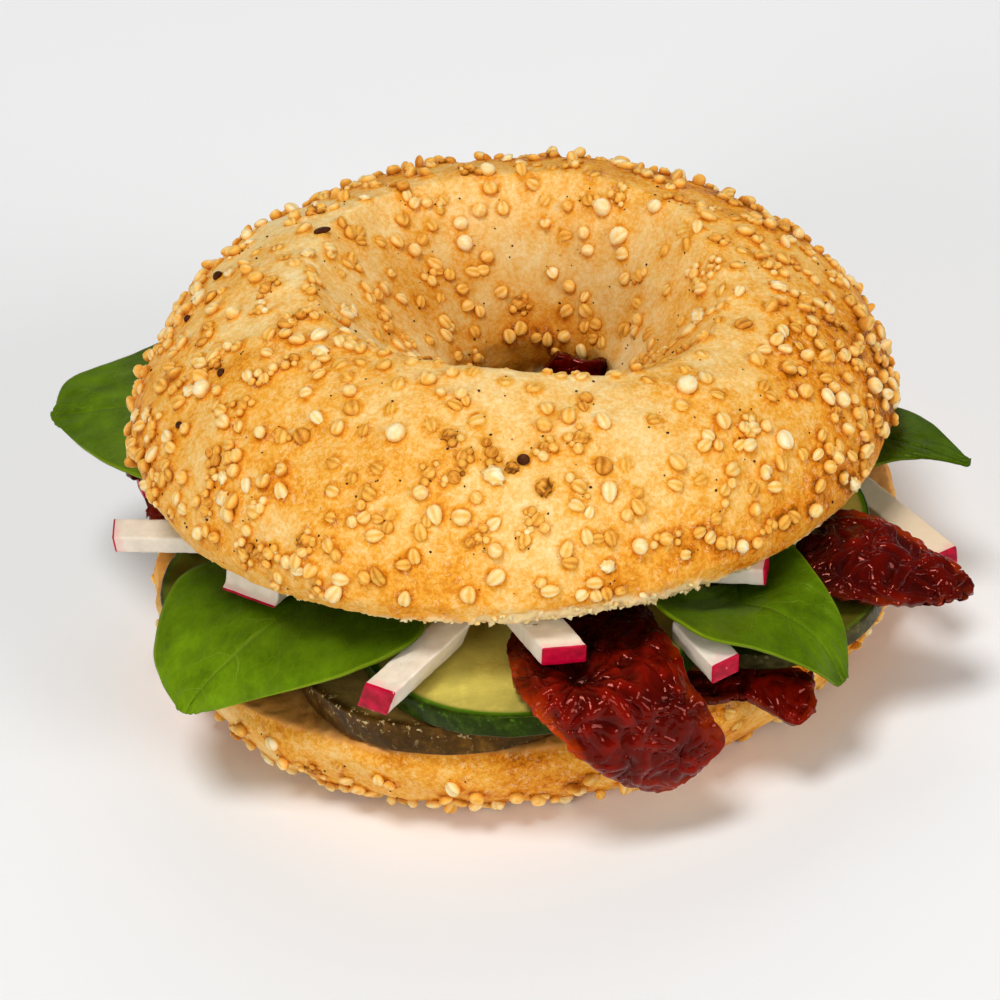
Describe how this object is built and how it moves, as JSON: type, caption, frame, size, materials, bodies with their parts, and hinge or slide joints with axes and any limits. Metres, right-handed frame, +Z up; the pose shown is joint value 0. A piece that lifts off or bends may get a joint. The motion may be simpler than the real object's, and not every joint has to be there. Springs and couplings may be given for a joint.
{
  "type": "bagel sandwich",
  "caption": "Split seeded bagel filled with aubergine and cucumber slices, dried tomatoes, salad leaves and radish sticks.",
  "frame": {"origin": "centre of the underside of the whole sandwich's box, on the surface that it lies on", "axes": "+Z up, -Y towards the side that the picture shows, +X to the right as seen from there"},
  "size_m": [0.1284, 0.1213, 0.0603],
  "materials": {
    "crust": "baked golden crust, dull, with paler floury patches and seeds",
    "cucumber": "moist pale green flesh with a dark green rind",
    "aubergine": "moist tan flesh with a brown speckled skin",
    "dried_tomato": "oily and wrinkled dark red",
    "leaf": "fresh green, satin, with paler veins",
    "radish": "moist white flesh with a bright pink rind"
  },
  "bodies": {
    "root": {"bagel_bottom": "crust", "bagel_top": "crust", "aubergine_front": "aubergine", "aubergine_back": "aubergine", "aubergine_right": "aubergine", "courgette_left": "cucumber", "courgette_right": "cucumber", "cucumber_front": "cucumber", "cucumber_right": "cucumber", "cucumber_back": "cucumber", "cucumber_back_right": "cucumber", "radish_left": "radish", "radish_left_back": "radish", "radish_left_front": "radish", "radish_front_left": "radish", "radish_front": "radish", "radish_front_right": "radish", "radish_under_rim": "radish", "radish_right": "radish", "radish_back": "radish", "radish_back_left": "radish", "leaf_back_left": "leaf", "leaf_front_left": "leaf", "leaf_front_right": "leaf", "leaf_back_right": "leaf", "leaf_front_inner": "leaf", "leaf_back": "leaf", "tomato_front": "dried_tomato", "tomato_right": "dried_tomato", "tomato_low_right": "dried_tomato", "tomato_left": "dried_tomato", "tomato_left_bit": "dried_tomato", "tomato_middle": "dried_tomato", "tomato_back": "dried_tomato"}
  },
  "joints": []
}
